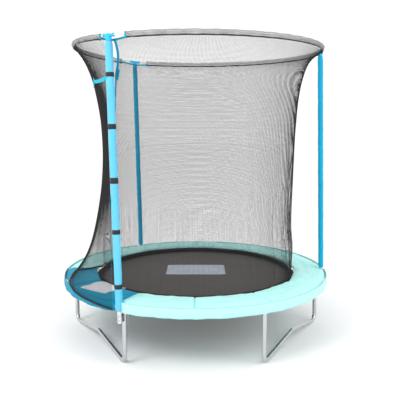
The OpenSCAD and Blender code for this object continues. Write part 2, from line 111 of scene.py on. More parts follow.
def ring_shape(angle):
    """Radius of the top ring, and its height above the poles' heads, at an angle."""
    a = np.asarray(angle, float) % 360
    radius, lift = np.full_like(a, RING_R), np.zeros_like(a)
    for k in range(3):
        start, end = POLE_HEAD[k][1], next_head(k)
        half = math.radians((end - start) / 2)
        base, chord = RING_R * math.cos(half), RING_R * math.sin(half)
        bulge = math.hypot(ROD_MID_R[k] - base, ROD_RISE[k])
        arc = (chord ** 2 + bulge ** 2) / (2 * bulge)
        centre = base + bulge - arc
        t = np.radians(a - start) - half
        r = centre * np.cos(t) + np.sqrt(arc ** 2 - (centre * np.sin(t)) ** 2)
        on = (a >= start) & (a <= end)
        radius = np.where(on, r, radius)
        lift = np.where(on, ROD_RISE[k] * (r * np.cos(t) - base) / bulge, lift)
    return radius, lift


def on_ring(out, angle, up):
    """Points beside the ring's centre line, out from it and up from it."""
    radius, lift = ring_shape(angle)
    return polar(radius + out, angle, RING_Z + lift + up)


def frames(path, closed=False):
    """Tangents and two normals along a path, without twist."""
    p = np.asarray(path, float)
    if closed:
        t = unit(np.roll(p, -1, 0) - np.roll(p, 1, 0))
    else:
        t = unit(np.gradient(p, axis=0))
    n = np.zeros_like(p)
    ref = np.array([0, 0, 1.0]) if abs(t[0][2]) < 0.8 else np.array([1.0, 0, 0])
    n[0] = unit(ref - t[0] * (ref @ t[0]))
    for i in range(1, len(p)):
        n[i] = unit(n[i - 1] - t[i] * (n[i - 1] @ t[i]))
    return t, n, np.cross(t, n)


def sweep(path, section, up=None, closed=False):
    """A section (side, up) carried along a path. Returns vertices and faces, with flat ends."""
    p, s = np.asarray(path, float), np.asarray(section, float)
    if up is None:
        t, n, b = frames(p, closed)
    else:
        t = unit(np.roll(p, -1, 0) - np.roll(p, 1, 0)) if closed else unit(np.gradient(p, axis=0))
        b = unit(np.cross(t, np.broadcast_to(up, p.shape)))
        n = np.cross(b, t)
    if s.ndim == 2:
        s = np.broadcast_to(s, (len(p),) + s.shape)
    v = p[:, None] + s[..., :1] * b[:, None] + s[..., 1:] * n[:, None]
    rows, m = len(p), s.shape[1]
    faces = []
    for i in range(rows if closed else rows - 1):
        j = (i + 1) % rows
        faces += [(i * m + k, j * m + k, j * m + (k + 1) % m, i * m + (k + 1) % m) for k in range(m)]
    if not closed:
        faces += [tuple(range(m)), tuple((rows - 1) * m + k for k in range(m - 1, -1, -1))]
    return v.reshape(-1, 3), faces


def circle(d, sides=8):
    a = np.arange(sides) * 2 * np.pi / sides
    return np.stack([np.cos(a), np.sin(a)], -1) * d / 2


def band(w, t):
    """Section of a flat strap, w wide and t thick, with eased edges."""
    e = min(w, t) * 0.35
    x, y = w / 2, t / 2
    return np.array([(x, -y + e), (x, y - e), (x - e, y), (0, y), (-x + e, y), (-x, y - e),
                     (-x, -y + e), (-x + e, -y), (0, -y), (x - e, -y)])


def joined(parts):
    """Several (vertices, faces) as one."""
    verts, faces, base = [], [], 0
    for v, f in parts:
        verts.append(np.asarray(v))
        faces += [tuple(i + base for i in face) for face in f]
        base += len(v)
    return np.concatenate(verts), faces


def turned(part, angle):
    v, f = part
    c, s = math.cos(math.radians(angle)), math.sin(math.radians(angle))
    return v @ np.array([[c, s, 0], [-s, c, 0], [0, 0, 1]]), f


def piece(name, part, material, body="frame", slot=None, nodes=(), smooth=True):
    """A new mesh from (vertices, faces). It rides on a body unless body is None."""
    v, f = part
    mesh = bpy.data.meshes.new(name)
    mesh.from_pydata(np.asarray(v).tolist(), [], f if isinstance(f, list) else f.tolist())
    mesh.materials.append(material)
    if smooth:
        mesh.polygons.foreach_set("use_smooth", [True] * len(mesh.polygons))
    obj = bpy.data.objects.new(name, mesh)
    bpy.context.scene.collection.objects.link(obj)
    return adopt(obj, body, slot, nodes)


def adopt(obj, body="frame", slot=None, nodes=()):
    if nodes:
        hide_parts(*nodes)
    if body:
        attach(obj, body)
    return obj


def stitches(path, up, length=0.006, gap=0.004, d=0.0011, lift=0.0004):
    """Short raised stitches along a path."""
    p = np.asarray(path, float)
    run = np.concatenate([[0], np.cumsum(np.linalg.norm(np.diff(p, axis=0), axis=1))])
    up = np.broadcast_to(np.asarray(up, float), p.shape)
    parts = []
    for s in np.arange(gap, run[-1] - length, length + gap):
        at = np.array([s, s + length * 0.25, s + length * 0.75, s + length])
        mid = np.stack([np.interp(at, run, p[:, i]) for i in range(3)], -1)
        rise = np.stack([np.interp(at, run, up[:, i]) for i in range(3)], -1)
        mid += rise * np.array([-0.3 * d, lift, lift, -0.3 * d])[:, None]
        parts.append(sweep(mid, circle(d, 4), up=rise[1]))
    return joined(parts)


# ---- materials ----

class Nodes:
    """A node material with one Principled shader."""

    def __init__(self, name):
        self.material = bpy.data.materials.new(name)
        self.material.use_nodes = True
        self.tree = self.material.node_tree
        self.shader = self.tree.nodes["Principled BSDF"]
        self.place = self.add("ShaderNodeTexCoord").outputs["Object"]

    def add(self, kind, **values):
        node = self.tree.nodes.new(kind)
        for key, value in values.items():
            if hasattr(node, key):
                setattr(node, key, value)
            else:
                node.inputs[key].default_value = value
        return node

    def link(self, a, b):
        self.tree.links.new(a, b)

    def set(self, **values):
        for key, value in values.items():
            self.shader.inputs[key.replace("_", " ")].default_value = value

    def noise(self, scale, detail=3.0, stretch=None):
        node = self.add("ShaderNodeTexNoise", Scale=scale, Detail=detail)
        place = self.place
        if stretch:
            mapping = self.add("ShaderNodeMapping")
            mapping.inputs["Scale"].default_value = stretch
            self.link(place, mapping.inputs["Vector"])
            place = mapping.outputs["Vector"]
        self.link(place, node.inputs["Vector"])
        return node.outputs["Fac"]

    def math(self, how, a, b):
        node = self.add("ShaderNodeMath", operation=how)
        for socket, value in zip(node.inputs, (a, b)):
            if isinstance(value, (int, float)):
                socket.default_value = value
            else:
                self.link(value, socket)
        return node.outputs[0]

    def span(self, value, low, high, start=0.3, end=0.7):
        node = self.add("ShaderNodeMapRange")
        for key, number in (("From Min", start), ("From Max", end), ("To Min", low), ("To Max", high)):
            node.inputs[key].default_value = number
        self.link(value, node.inputs["Value"])
        return node.outputs["Result"]

    def blend(self, factor, a, b):
        node = self.add("ShaderNodeMix", data_type="RGBA")
        self.link(factor, node.inputs["Factor"])
        for socket, value in zip((s for s in node.inputs if s.type == "RGBA"), (a, b)):
            if isinstance(value, tuple):
                socket.default_value = value
            else:
                self.link(value, socket)
        return next(s for s in node.outputs if s.type == "RGBA")

    def bump(self, height, distance):
        node = self.add("ShaderNodeBump", Distance=distance)
        self.link(height, node.inputs["Height"])
        self.link(node.outputs["Normal"], self.shader.inputs["Normal"])


def shade(tone, factor):
    return tuple(min(1.0, c * factor) for c in tone) + (1.0,)


def finish_of(name, tone, spread=0.1, patch=9.0, rough=(0.5, 0.65), metal=0.0, grain=0.0, grain_scale=700.0,
              weave=0.0, thread=0.0022, stretch=None, spec=0.5):
    """A material: a tone that varies in patches and fine grain, uneven gloss, and grain or a woven relief,
    with painted shade in the weave's hollows.
    """
    n = Nodes(name)
    cloud = n.noise(patch, 4.0, stretch)
    fine = n.noise(grain_scale * 0.35, 2.0)
    mixed = n.math("ADD", n.math("MULTIPLY", cloud, 0.75), n.math("MULTIPLY", fine, 0.25))
    colour = n.blend(n.span(mixed, 0, 1), shade(tone, 1 - spread), shade(tone, 1 + spread))
    height = n.noise(grain_scale, 3.0)
    if weave:
        waves = []
        for axis in ("X", "Y", "Z"):
            wave = n.add("ShaderNodeTexWave", wave_type="BANDS", bands_direction=axis,
                         Scale=math.tau / 20 / thread, Distortion=0.3)
            n.link(n.place, wave.inputs["Vector"])
            waves.append(wave.outputs["Fac"])
        cloth = n.math("MULTIPLY", n.math("ADD", waves[0], waves[2]), n.math("ADD", waves[1], 0.25))
        # Painted shade: the colour darkens to 0.62 of the tone in the weave's hollows between the threads,
        # where the relief is low.
        colour = n.blend(n.span(cloth, 0, 1, 0.1, 1.6), n.blend(n.span(cloth, 1, 0, 0, 0.5), colour,
                         shade(tone, 0.62)), colour)
        height = n.math("ADD", n.math("MULTIPLY", cloth, weave), n.math("MULTIPLY", height, 0.3))
    n.link(colour, n.shader.inputs["Base Color"])
    n.link(n.span(cloud, rough[0], rough[1]), n.shader.inputs["Roughness"])
    n.set(Metallic=metal, Specular_IOR_Level=spec)
    if grain or weave:
        n.bump(height, 0.0004 if weave else grain)
    return n.material


STEEL = finish_of("galvanised", (0.62, 0.64, 0.66), 0.07, 60, (0.2, 0.34), 1.0, 0.00001, 900)
LEG = finish_of("galvanised_legs", (0.56, 0.57, 0.585), 0.06, 45, (0.16, 0.28), 1.0, 0.00001, 900)
POLE = finish_of("pole_tube", (0.72, 0.73, 0.75), 0.06, 50, (0.25, 0.4), 0.9, 0.00001, 900)
SPRING = finish_of("spring_wire", (0.66, 0.67, 0.68), 0.1, 80, (0.22, 0.36), 1.0, 0.00004, 1200)
PLASTIC = finish_of("grey_plastic", (0.16, 0.17, 0.18), 0.12, 40, (0.42, 0.55), 0, 0.0001, 1500)
CYAN = finish_of("cyan_plastic", (0.02, 0.52, 0.86), 0.08, 30, (0.32, 0.45), 0, 0.00008, 1300)
ROD = finish_of("fibreglass", (0.72, 0.72, 0.68), 0.07, 20, (0.4, 0.5), 0, 0.00008, 1200, stretch=(1, 1, 8))
FOAM = finish_of("blue_sleeve", (0.0, 0.37, 0.62), 0.12, 14, (0.5, 0.65), 0, 0.0006, 120, spec=0.25,
                 stretch=(1, 1, 0.3))
# Painted light: the door pole's sleeve is a lighter blue than the other sleeves, standing for the strong
# light falling on it from the front left.
DOOR_FOAM_PAINTED_LIGHT = finish_of("light_blue_sleeve", (0.12, 0.53, 0.80), 0.09, 12, (0.48, 0.62), 0, 0.0006, 110,
                      spec=0.25, stretch=(1, 1, 0.3))
MINT = finish_of("mint_cover", (0.46, 0.88, 0.84), 0.05, 7, (0.42, 0.6), 0, 0.0005, 260, spec=0.3)
# Painted shade: the piping is a darker copy of the mint cover, standing for the shade in the fold between a
# pad's top and its skirt.
MINT_PIPING_SHADED = finish_of("mint_piping_painted_shade", (0.27, 0.62, 0.585), 0.07, 30, (0.4, 0.55), 0, 0.0003, 400)
BLUE = finish_of("blue_cover", (0.0, 0.27, 0.43), 0.1, 8, (0.45, 0.6), 0, 0.0005, 260, spec=0.2)
# Painted shade: the piping is a darker copy of the blue cover, for the same shaded fold between top and
# skirt.
BLUE_PIPING_SHADED = finish_of("blue_piping_painted_shade", (0.0, 0.17, 0.29), 0.1, 30, (0.4, 0.55), 0, 0.0003, 400)
MAT = finish_of("mat_weave", (0.083, 0.073, 0.065), 0.14, 5, (0.6, 0.78), 0, weave=1.0, thread=0.003)
BORDER = finish_of("black_webbing", (0.022, 0.021, 0.022), 0.2, 26, (0.62, 0.8), 0, weave=0.9, thread=0.0016)
THREAD = finish_of("stitching", (0.09, 0.09, 0.095), 0.15, 90, (0.6, 0.8), 0, 0.0001, 2200)
BADGE = finish_of("printed_panel", (0.42, 0.47, 0.54), 0.08, 8, (0.6, 0.75), 0, weave=0.5, thread=0.003)
PATCH = finish_of("plain_patch", (0.72, 0.74, 0.78), 0.06, 10, (0.5, 0.65), 0, 0.0002, 500)
NET = finish_of("net_yarn", (0.018, 0.018, 0.019), 0.35, 18, (0.6, 0.85), 0, spec=0.25)
RING_NET = finish_of("ring_net_yarn", (0.33, 0.33, 0.33), 0.3, 22, (0.6, 0.85), 0, spec=0.25)
STRAP = finish_of("black_strap", (0.018, 0.018, 0.02), 0.2, 40, (0.6, 0.8), 0, weave=0.8, thread=0.0015)
TEAL = finish_of("teal_webbing", (0.0, 0.36, 0.52), 0.12, 40, (0.5, 0.7), 0, weave=0.8, thread=0.0015,
                 spec=0.2)
BRIGHT_TEAL = finish_of("bright_webbing", (0.0, 0.50, 0.68), 0.1, 40, (0.5, 0.7), 0, weave=0.5,
                        thread=0.0015, spec=0.2)
ELASTIC = finish_of("elastic", (0.02, 0.02, 0.022), 0.2, 90, (0.6, 0.8), 0, 0.0002, 900)

NODE_FINISH = {
    STEEL: ["rail_1", "rail_2", "rail_3", "rail_4", "rail_5", "rail_6",
            "pole_bolts", "pole_nuts", "rod_ferrules"],
    LEG: ["leg_left", "leg_right", "leg_back"],
    POLE: ["pole_right", "pole_back", "pole_door"],
    PLASTIC: ["pole_plugs", "pole_spacers"],
    CYAN: ["cap_right", "cap_back", "cap_door"],
    ROD: ["rod_back", "rod_left", "rod_front"],
}
for finish, names in NODE_FINISH.items():
    for name in names:
        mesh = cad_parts[name].data
        mesh.materials.clear()
        mesh.materials.append(finish)


# ---- pads ----

PAD_LOW, PAD_R, PAD_IN = 0.3765, 0.9085, 0.7025
NOTCH_R, NOTCH_AT = 0.0255, 0.8975     # the notch for a pole: its radius, and the radius it's centred on
PUFF_LIMIT = 0.007                     # the filling swells a pad by this much at most
RIM_R = 0.9125                         # the pads' outer edge, with its piping


def pad_outline(notched):
    """Corners of a pad section from 0 to 30 degrees, anticlockwise; the notch for a pole is at 0 degrees."""
    slit = 0.0018
    inner_x = PAD_IN * math.cos(math.radians(30)), PAD_IN * math.sin(math.radians(30))
    edge = math.degrees(slit / PAD_R)
    points = [(PAD_IN, slit)]
    first = edge
    if notched:
        points.append((NOTCH_AT - NOTCH_R, slit))
        for a in range(170, 0, -10):
            x = NOTCH_AT + NOTCH_R * math.cos(math.radians(a))
            y = NOTCH_R * math.sin(math.radians(a))
            if math.hypot(x, y) > PAD_R - 0.001:
                break
            points.append((x, y))
        first = math.degrees(math.atan2(points[-1][1], points[-1][0])) + 0.4
    points += [tuple(polar(PAD_R, a)[:2]) for a in np.linspace(first, 30 - edge, 24)]
    turn = np.array([math.sin(math.radians(30)), -math.cos(math.radians(30))]) * slit
    points.append((inner_x[0] + turn[0], inner_x[1] + turn[1]))
    return points


def stuffed_pad(name, notched):
    """A pad section blown up by a cloth simulation, as vertices and faces."""
    low, high = PAD_LOW + 0.001, PAD_TOP - 0.003
    outline = pad_outline(notched)
    count = len(outline)
    verts = [(x, y, low) for x, y in outline] + [(x, y, high) for x, y in outline]
    faces = [tuple(range(count))[::-1], tuple(range(count, 2 * count))]
    faces += [(i, (i + 1) % count, count + (i + 1) % count, count + i) for i in range(count)]
    mesh = bpy.data.meshes.new(name)
    mesh.from_pydata(verts, [], faces)
    obj = bpy.data.objects.new(name, mesh)
    bpy.context.scene.collection.objects.link(obj)
    bpy.context.view_layer.objects.active = obj
    obj.select_set(True)
    remesh = obj.modifiers.new("grid", "REMESH")
    remesh.mode, remesh.voxel_size = "VOXEL", 0.006
    bpy.ops.object.modifier_apply(modifier="grid")
    rest = np.array([v.co for v in obj.data.vertices])
    cloth = obj.modifiers.new("puff", "CLOTH")
    s = cloth.settings
    s.quality, s.mass = 6, 0.12
    s.tension_stiffness = s.compression_stiffness = 12
    s.shear_stiffness, s.bending_stiffness = 6, 0.4
    s.use_pressure, s.uniform_pressure_force = True, 4.0
    s.effector_weights.gravity = 0
    cloth.collision_settings.use_self_collision = False
    cloth.point_cache.frame_start, cloth.point_cache.frame_end = 1, 20
    scene = bpy.context.scene
    for f in range(1, 21):
        scene.frame_set(f)
    bpy.ops.object.modifier_apply(modifier="puff")
    scene.frame_set(1)
    moved = np.array([v.co for v in obj.data.vertices])
    step = moved - rest
    far = np.linalg.norm(step, axis=1, keepdims=True)
    moved = rest + step * np.minimum(1, PUFF_LIMIT / np.maximum(far, 1e-9))
    moved[:, 2] = np.maximum(moved[:, 2], PAD_LOW)
    obj.data.vertices.foreach_set("co", moved.ravel())
    soft = obj.modifiers.new("soft", "SMOOTH")
    soft.iterations, soft.factor = 4, 0.5
    bpy.ops.object.modifier_apply(modifier="soft")
    verts = np.array([v.co for v in obj.data.vertices])
    faces = [tuple(p.vertices) for p in obj.data.polygons]
    bpy.data.objects.remove(obj)
    return verts, faces


def creased(part, seed):
    """A pad from 0 to 30 degrees with its cover's loose undulations, creases, and puckers along its seams."""
    v, f = part
    v = v.copy()
    r = np.hypot(v[:, 0], v[:, 1])
    a = np.degrees(np.arctan2(v[:, 1], v[:, 0]))
    upper = ease((v[:, 2] - 0.384) / 0.010)
    rng = np.random.default_rng(seed)
    phase = rng.uniform(0, 2 * np.pi, 8)
    long = np.sin(r * 44 + a * 0.21 + phase[0]) * np.sin(a * 0.34 + phase[1])
    short = np.sin(r * 21 - a * 0.62 + phase[2]) * np.sin(r * 63 + a * 0.43 + phase[3])
    for seam, start in ((0.0, phase[4]), (30.0, phase[5])):
        d = np.abs(a - seam) * np.pi / 180 * r
        tuck = np.exp(-d / 0.035)
        pucker = np.sin(r * 190 + start + 1.3 * np.sin(r * 60 + phase[6]))
        long = long + tuck * 1.1 * pucker - 0.8 * np.exp(-d / 0.012)
    v[:, 2] += upper * (0.0019 * long + 0.0014 * short)
    for _ in range(7):
        r0, slant, width = rng.uniform(0.73, 0.895), rng.uniform(-0.0016, 0.0016), rng.uniform(0.007, 0.012)
        middle, run, depth = rng.uniform(4, 26), rng.uniform(5, 12), rng.uniform(0.0012, 0.0030)
        off = r - r0 - slant * (a - middle)
        v[:, 2] -= upper * depth * np.exp(-(off / width) ** 2 - ((a - middle) / run) ** 2)
    v[:, 2] -= upper * 0.007 * ease((r - 0.85) / 0.06)
    return v, f


PADS = {False: stuffed_pad("pad_plain", False), True: stuffed_pad("pad_notched", True)}
BLUE_PADS = (7, 8)
SEAMS = [0, 30, 60, 90, 121.8, 150, 180, 210, 240.6, 270, 300, 330, 360]


def spanned(part, a0, a1):
    """A pad from 0 to 30 degrees, its sides drawn out to the seams, stretched to run from a0 to a1."""
    v, f = part
    r = np.hypot(v[:, 0], v[:, 1])
    a = np.degrees(np.arctan2(v[:, 1], v[:, 0]))
    clear = (r > 0.74) & (r < 0.84)
    for seam, sign in ((0, 1), (30, -1)):
        d = np.radians(a - seam) * sign * r
        slack = d[clear].min() - 0.0002
        a = a - sign * np.degrees(slack * (1 - ease((d - slack) / 0.03)) / r)
    return polar(r, a0 + a * (a1 - a0) / 30, v[:, 2]), f


def pad_mirrored(part):
    v, f = part
    v = v * np.array([1, -1, 1])
    return turned((v, [tuple(reversed(face)) for face in f]), 30)


for k in range(1, 13):
    low_pole, high_pole = k in (1, 5, 9), k in (4, 8, 12)
    shape = PADS[low_pole or high_pole]
    if high_pole:
        shape = pad_mirrored(shape)
    shape = spanned(creased(shape, 40 + k), SEAMS[k - 1], SEAMS[k])
    blue = k in BLUE_PADS
    pad = piece(f"pad_{k:02d}_cushion", shape, BLUE if blue else MINT, "frame",
                "blue_cover" if blue else "mint_cover", [f"pad_{k:02d}"])


def edge_path(k0, k1, r, z, step=1.0):
    """The pads' outer edge from pad k0 to pad k1, rounded in at an end that meets a pole."""
    a0, a1 = SEAMS[k0 - 1], SEAMS[k1]
    angles = np.arange(a0, a1 + 0.01, step)
    rr = np.full_like(angles, r)
    for end, seam in ((a0, k0 - 1), (a1, k1)):
        if seam % 4:
            continue
        d = np.abs(angles - end)
        keep = d >= (1.45 if seam == 8 else 1.1)
        angles, rr = angles[keep], rr[keep]
        d = np.abs(angles - end)
        rr = rr - 0.012 * np.clip((3.3 - d) / 1.4, 0, 1) ** 1.6
    return polar(rr, angles, z)


RUNS = {"mint": [(1, 4), (5, 6), (9, 12)], "blue": [(7, 8)]}
for tint, cover, shaded_trim in (("mint", MINT, MINT_PIPING_SHADED), ("blue", BLUE, BLUE_PIPING_SHADED)):
    skirt, piping, seams = [], [], []
    for k0, k1 in RUNS[tint]:
        path = edge_path(k0, k1, RIM_R, 0.0, step=0.5)
        angle = np.degrees(np.unwrap(np.arctan2(path[:, 1], path[:, 0])))
        rows = []
        heights = np.linspace(0.392, 0.3325, 9)
        for i, z in enumerate(heights):
            drop = i / (len(heights) - 1)
            wave = 0.0030 * np.sin(angle * 0.71 + 2.2 * np.sin(angle * 0.13)) + 0.0009 * np.sin(angle * 2.3)
            out = 0.003 + 0.003 * math.sin(drop * math.pi * 0.8) - 0.0035 * drop ** 3 + wave * drop
            rows.append(path + polar(out, angle, z + 0.0008 * np.sin(angle * 0.35) * drop))
        outer = np.stack(rows, 1)
        radial = unit(path)[:, None] * 0.0012
        loop = np.concatenate([outer, (outer - radial)[:, ::-1]], 1)
        n, m = loop.shape[:2]
        faces = [(i * m + j, (i + 1) * m + j, (i + 1) * m + (j + 1) % m, i * m + (j + 1) % m)
                 for i in range(n - 1) for j in range(m)]
        faces += [tuple(range(m)), tuple((n - 1) * m + j for j in range(m - 1, -1, -1))]
        skirt.append((loop.reshape(-1, 3), faces))
        piping.append(sweep(edge_path(k0, k1, RIM_R, 0.3925), circle(0.0055, 8)))
        hem = path + polar(0.0048 + 0.0026 * np.sin(angle * 0.71 + 2.2 * np.sin(angle * 0.13)), angle, 0.3405)
        seams.append(stitches(hem, unit(path), 0.007, 0.005, 0.001, 0.0006))
    slot = f"{tint}_cover"
    hanging = piece(f"skirt_{tint}_cloth", joined(skirt), cover, "frame", slot, [f"skirt_{tint}"])
    # The piping takes the darker piping colour, painted shade of the fold between top and skirt; the skirt's
    # stitching shares it.
    cord = piece(f"piping_{tint}", joined(piping), shaded_trim, "frame", slot)
    thread = piece(f"skirt_{tint}_stitching", joined(seams), shaded_trim, "frame", slot)
    span = sum(k1 - k0 + 1 for k0, k1 in RUNS[tint]) * 0.478


# ---- mat, links and springs ----

MAT_R, BORDER_W = 0.704, 0.036
FLAT_R = MAT_R - BORDER_W


def disc(radii, heights, count=144):
    """A closed body of revolution from (radius, height) pairs, the first and last of them on the axis."""
    a = np.arange(count) * 360 / count
    rows = [polar(r, a, z) for r, z in zip(radii[1:-1], heights[1:-1])]
    v = np.concatenate([[(0, 0, heights[0])]] + rows + [[(0, 0, heights[-1])]])
    faces = [(0, 1 + (i + 1) % count, 1 + i) for i in range(count)]
    for r in range(len(rows) - 1):
        s = 1 + r * count
        faces += [(s + i, s + (i + 1) % count, s + count + (i + 1) % count, s + count + i)
                  for i in range(count)]
    s, end = 1 + (len(rows) - 1) * count, len(v) - 1
    faces += [(end, s + i, s + (i + 1) % count) for i in range(count)]
    return v, faces


half = 0.0014
steps = np.linspace(0, FLAT_R + 0.006, 14)
mat_part = disc(list(steps) + list(steps[::-1]), [MAT_Z - half] * 14 + [MAT_Z + half] * 14)
bed = piece("mat_cloth", mat_part, MAT, "bed", "mat_weave", ["mat"])

ring_angle = np.arange(0, 360, 2.0)
wave = 0.0004 * np.sin(np.radians(ring_angle) * 36)
border_mid = polar((FLAT_R + MAT_R) / 2, ring_angle, MAT_Z) + np.stack([0 * wave, 0 * wave, wave], -1)
border_parts = [sweep(border_mid, band(BORDER_W - 0.0004, 0.0056), up=(0, 0, 1), closed=True)]
for i in range(36):
    tab = np.array([(0.676, 0, MAT_Z + 0.0034), (0.690, 0, MAT_Z + 0.0038), (0.701, 0, MAT_Z + 0.0034),
                    (0.7065, 0, MAT_Z + 0.0004), (0.7045, 0, MAT_Z - 0.0030), (0.690, 0, MAT_Z - 0.0038),
                    (0.676, 0, MAT_Z - 0.0034)])
    up = np.array([(0, 0, 1), (0, 0, 1), (0.3, 0, 1), (1, 0, 0.1), (0.3, 0, -1), (0, 0, -1), (0, 0, -1)],
                  float)
    border_parts.append(turned(sweep(tab, band(0.026, 0.0016), up=up), (i + 0.5) * 10))
border = piece("mat_border_webbing", joined(border_parts), BORDER, "bed", "black_webbing", ["mat_border"])
fine_ring = np.arange(0, 360.1, 1.0)
rows = [stitches(polar(r, fine_ring, MAT_Z + 0.0028), (0, 0, 1), 0.006, 0.004, 0.0010, 0.0004)
        for r in (FLAT_R + 0.003, FLAT_R + 0.008)]
border_thread = piece("mat_border_stitching", joined(rows), THREAD, "bed", "black_webbing")

corner = 0.014
outline = []
for cx, cy, start in ((0.21, 0.205, 0), (-0.21, 0.205, 90), (-0.21, -0.065, 180), (0.21, -0.065, 270)):
    mx, my = cx - math.copysign(corner, cx), cy - math.copysign(corner, cy)
    turn = [math.radians(start + t) for t in range(0, 91, 15)]
    outline += [(mx + corner * math.cos(t), my + corner * math.sin(t)) for t in turn]
count = len(outline)
panel = [(x, y, MAT_Z + half + lift) for lift in (-0.0002, 0.0006) for x, y in outline]
sides = [(i, (i + 1) % count, count + (i + 1) % count, count + i) for i in range(count)]
ends = [tuple(range(count))[::-1], tuple(range(count, 2 * count))]
piece("mat_panel_print", (np.array(panel), sides + ends), BADGE, "bed", "printed_panel", ["mat_badge"],
      smooth=False)

WIRE = 0.0028
link = []
for (x0, y0), (x1, y1) in zip([(0.7005, 0.0115), (0.7005, -0.0115), (0.7255, -0.0022), (0.7255, 0.0022)],
                              [(0.7005, -0.0115), (0.7255, -0.0022), (0.7255, 0.0022), (0.7005, 0.0115)]):
    link += [(x0 + (x1 - x0) * t, y0 + (y1 - y0) * t, MAT_Z) for t in (0.12, 0.5, 0.88)]
link_part = sweep(np.array(link), circle(0.003, 8), up=(0, 0, 1), closed=True)
piece("triangle_links", joined([turned(link_part, (i + 0.5) * 10) for i in range(36)]), SPRING, "bed",
      "spring_steel", ["v_rings"])

COIL_0, COIL_1, LINK_R, HOOK_END = 0.7385, 0.8185, 0.724, 0.8505
turns, per_turn = 27, 12
t = np.arange(turns * per_turn + 1) / per_turn
coil = np.stack([COIL_0 + (COIL_1 - COIL_0) * t / turns, 0.0066 * np.sin(t * 2 * np.pi),
                 0.0066 * np.cos(t * 2 * np.pi)], -1)
hook_a = np.radians(np.arange(-200, 41, 20))
inner_hook = np.stack([LINK_R + 0.0005 + 0.0052 * np.cos(hook_a), 0 * hook_a, 0.0052 * np.sin(hook_a)], -1)
outer_hook = np.array([(COIL_1 + 0.003, 0, 0.004), (COIL_1 + 0.007, 0, 0.0006), (0.838, 0, 0),
                       (0.8475, 0, -0.0008), (HOOK_END, 0, -0.004), (HOOK_END, 0, -0.008)])
wire = np.concatenate([inner_hook, [(0.7345, 0, 0.0052), (0.737, 0, 0.0062)], coil, outer_hook])
spring_part = sweep(wire + np.array([0, 0, MAT_Z]), circle(WIRE, 5))
for i in range(36):
    a = (i + 0.5) * 10
    spring = piece(f"spring_{i + 1:02d}", turned(spring_part, a), SPRING, None, "spring_steel", ["springs"])
    tuple(polar(0.840, a, MAT_Z))
    tuple(polar(0.731, a, MAT_Z))
    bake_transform(spring)


# ---- nets ----

NET_TOP, NET_LOW = 1.8865, 0.368
RIGHT_R = curve([(0.30, 0.664), (0.37, 0.667), (0.44, 0.676), (0.51, 0.679), (0.597, 0.680),
                 (0.66, 0.668), (0.758, 0.664), (1.05, 0.672), (1.333, 0.681), (1.513, 0.692),
                 (1.594, 0.700), (1.687, 0.716), (1.796, 0.748), (1.858, 0.786), (1.8865, 0.842),
                 (1.95, 0.97)], 0.03)
LEFT_R = curve([(0.30, 0.664), (0.40, 0.667), (0.624, 0.664), (0.891, 0.660), (1.0, 0.650),
                (1.117, 0.642), (1.215, 0.638), (1.335, 0.641), (1.443, 0.648), (1.533, 0.661),
                (1.658, 0.695), (1.716, 0.718), (1.777, 0.750), (1.841, 0.794), (1.8865, 0.842),
                (1.95, 0.92)], 0.03)
PULL_Z = 1.5                       # above this the net follows the ring's own shape


def pull(z):
    return np.clip((z - PULL_Z) / (NET_TOP - PULL_Z), 0, 1) ** 1.5


def wall_r(angle, z):
    """Radius of the net wall, narrower at half height on the door side."""
    left = 0.5 - 0.5 * np.cos(np.radians(angle))
    return (1 - left) * RIGHT_R(z) + left * LEFT_R(z) + (ring_shape(angle)[0] - RING_R) * pull(z)


# Each crease runs between two (angle, height) points, with its depth.
CREASES = [((228, 1.30), (227.6, 1.09), 0.010), ((233, 1.30), (228.4, 1.10), 0.009),
           ((230, 0.95), (232, 0.705), 0.010), ((232, 0.705), (228.6, 0.60), 0.008),
           ((338, 1.02), (343, 0.42), 0.011), ((345, 0.92), (349, 0.45), 0.010),
           ((352, 1.05), (354, 0.40), 0.011), ((358, 0.98), (359.5, 0.42), 0.010),
           ((4, 1.0), (2, 0.45), 0.010), ((10, 0.9), (7, 0.42), 0.009),
           ((330, 0.8), (335, 0.40), 0.008), ((16, 0.95), (13, 0.40), 0.010),
           ((252, 1.10), (249, 0.42), 0.006), ((275, 0.85), (277, 0.40), 0.006),
           ((300, 0.9), (302, 0.40), 0.006), ((318, 0.95), (320, 0.40), 0.007)]


def folds(angle, z):
    """Loose hanging folds of the net, as an outward shift: stronger towards the mat, none at the ring."""
    low = 1 - ease((z - 0.7) / 0.8)
    end = ease((z - NET_LOW) / 0.12) * 0.75 + 0.25
    slow = np.sin(np.radians(angle) * 19 + 1.7 * np.sin(np.radians(angle) * 4) + 1.1 * z)
    quick = np.sin(np.radians(angle) * 37 + 2.1 * np.sin(np.radians(angle) * 7 + 1) - 1.6 * z)
    calm = 1 - 0.8 * np.exp(-((np.mod(angle, 360) - 178) / 42) ** 2)
    shift = calm * (0.0022 * slow + 0.0012 * quick) * (0.2 * ease((1.5 - z) / 0.4) + 0.8 * low)
    gather = np.exp(-((np.mod(angle + 180, 360) - 180) / 24) ** 2) * ease((1.05 - z) / 0.35)
    shift = shift + 0.0040 * gather * np.sin(np.radians(angle) * 58 + 0.9 * np.sin(6 * z))
    for (a0, z0), (a1, z1), depth in CREASES:
        da = (np.mod(angle - a0 + 180, 360) - 180) * 0.0117
        run = np.array([(np.mod(a1 - a0 + 180, 360) - 180) * 0.0117, z1 - z0])
        s = np.clip((da * run[0] + (z - z0) * run[1]) / (run @ run), 0, 1)
        d = np.hypot(da - s * run[0], z - z0 - s * run[1])
        shift = shift - depth * np.exp(-(d / 0.013) ** 2) * ease(s / 0.2) * ease((1 - s) / 0.1 + 0.4)
    return shift * end * ease((NET_TOP - z) / 0.5)


def rise(angle, z):
    """Height of a point of the net once the ring has bowed."""
    return z + ring_shape(angle)[1] * pull(z)


